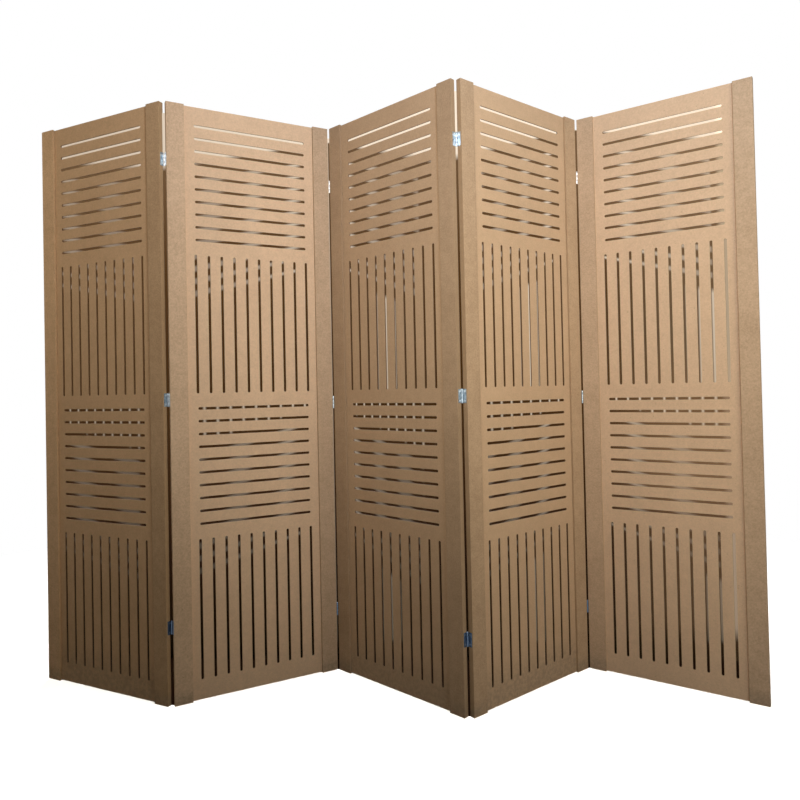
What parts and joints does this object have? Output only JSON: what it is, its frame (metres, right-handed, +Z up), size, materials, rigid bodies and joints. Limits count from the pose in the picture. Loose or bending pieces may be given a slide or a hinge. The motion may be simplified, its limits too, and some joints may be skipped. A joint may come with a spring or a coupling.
{
  "type": "folding screen",
  "caption": "Free-standing folding screen of slotted fibreboard panels in square stiles, joined by butt hinges and set in a zigzag.",
  "frame": {"origin": "middle of the zigzag's footprint, on the floor", "axes": "+X along the row of panels, from left to right as seen from the front; -Y to the front; +Z up, parallel to the hinge pins"},
  "size_m": [2.0932, 0.339, 1.7],
  "materials": {
    "stile_board": "raw sanded fibreboard, matt",
    "sheet_board": "raw thin fibreboard with cut slots, matt",
    "hinge_steel": "bright zinc plate",
    "pin_steel": "bright zinc plate",
    "screw_steel": "bright zinc plate"
  },
  "bodies": {
    "panel_1": {"panel_1_stile_left": "stile_board", "panel_1_stile_right": "stile_board", "panel_1_sheet": "sheet_board", "panel_1_screws": "screw_steel", "fold_1_top_leaf_a": "hinge_steel", "fold_1_top_pin": "pin_steel", "fold_1_mid_leaf_a": "hinge_steel", "fold_1_mid_pin": "pin_steel", "fold_1_low_leaf_a": "hinge_steel", "fold_1_low_pin": "pin_steel"},
    "panel_2": {"panel_2_stile_left": "stile_board", "panel_2_stile_right": "stile_board", "panel_2_sheet": "sheet_board", "panel_2_screws": "screw_steel", "fold_1_top_leaf_b": "hinge_steel", "fold_1_mid_leaf_b": "hinge_steel", "fold_1_low_leaf_b": "hinge_steel", "fold_2_top_leaf_a": "hinge_steel", "fold_2_top_pin": "pin_steel", "fold_2_mid_leaf_a": "hinge_steel", "fold_2_mid_pin": "pin_steel", "fold_2_low_leaf_a": "hinge_steel", "fold_2_low_pin": "pin_steel"},
    "panel_3": {"panel_3_stile_left": "stile_board", "panel_3_stile_right": "stile_board", "panel_3_sheet": "sheet_board", "panel_3_screws": "screw_steel", "fold_2_top_leaf_b": "hinge_steel", "fold_2_mid_leaf_b": "hinge_steel", "fold_2_low_leaf_b": "hinge_steel", "fold_3_top_leaf_a": "hinge_steel", "fold_3_top_pin": "pin_steel", "fold_3_mid_leaf_a": "hinge_steel", "fold_3_mid_pin": "pin_steel", "fold_3_low_leaf_a": "hinge_steel", "fold_3_low_pin": "pin_steel"},
    "panel_4": {"panel_4_stile_left": "stile_board", "panel_4_stile_right": "stile_board", "panel_4_sheet": "sheet_board", "panel_4_screws": "screw_steel", "fold_3_top_leaf_b": "hinge_steel", "fold_3_mid_leaf_b": "hinge_steel", "fold_3_low_leaf_b": "hinge_steel", "fold_4_top_leaf_a": "hinge_steel", "fold_4_top_pin": "pin_steel", "fold_4_mid_leaf_a": "hinge_steel", "fold_4_mid_pin": "pin_steel", "fold_4_low_leaf_a": "hinge_steel", "fold_4_low_pin": "pin_steel"},
    "panel_5": {"panel_5_stile_left": "stile_board", "panel_5_stile_right": "stile_board", "panel_5_sheet": "sheet_board", "panel_5_screws": "screw_steel", "fold_4_top_leaf_b": "hinge_steel", "fold_4_mid_leaf_b": "hinge_steel", "fold_4_low_leaf_b": "hinge_steel"}
  },
  "joints": [
    {"name": "fold_2", "type": "hinge", "parent": "panel_3", "child": "panel_2", "pos_m": [-0.1508, 0.1564, 0.85], "axis": [0, 0, 1], "range_deg": [-70.8, 106.2]},
    {"name": "fold_1", "type": "hinge", "parent": "panel_2", "child": "panel_1", "pos_m": [-0.59126, -0.0706, 0.85], "axis": [0, 0, -1], "range_deg": [-53.7, 126.3]},
    {"name": "fold_3", "type": "hinge", "parent": "panel_3", "child": "panel_4", "pos_m": [0.23175, -0.15855, 0.85], "axis": [0, 0, 1], "range_deg": [-81, 96]},
    {"name": "fold_4", "type": "hinge", "parent": "panel_4", "child": "panel_5", "pos_m": [0.62505, 0.14285, 0.85], "axis": [0, 0, -1], "range_deg": [-72.6, 107.4]}
  ]
}
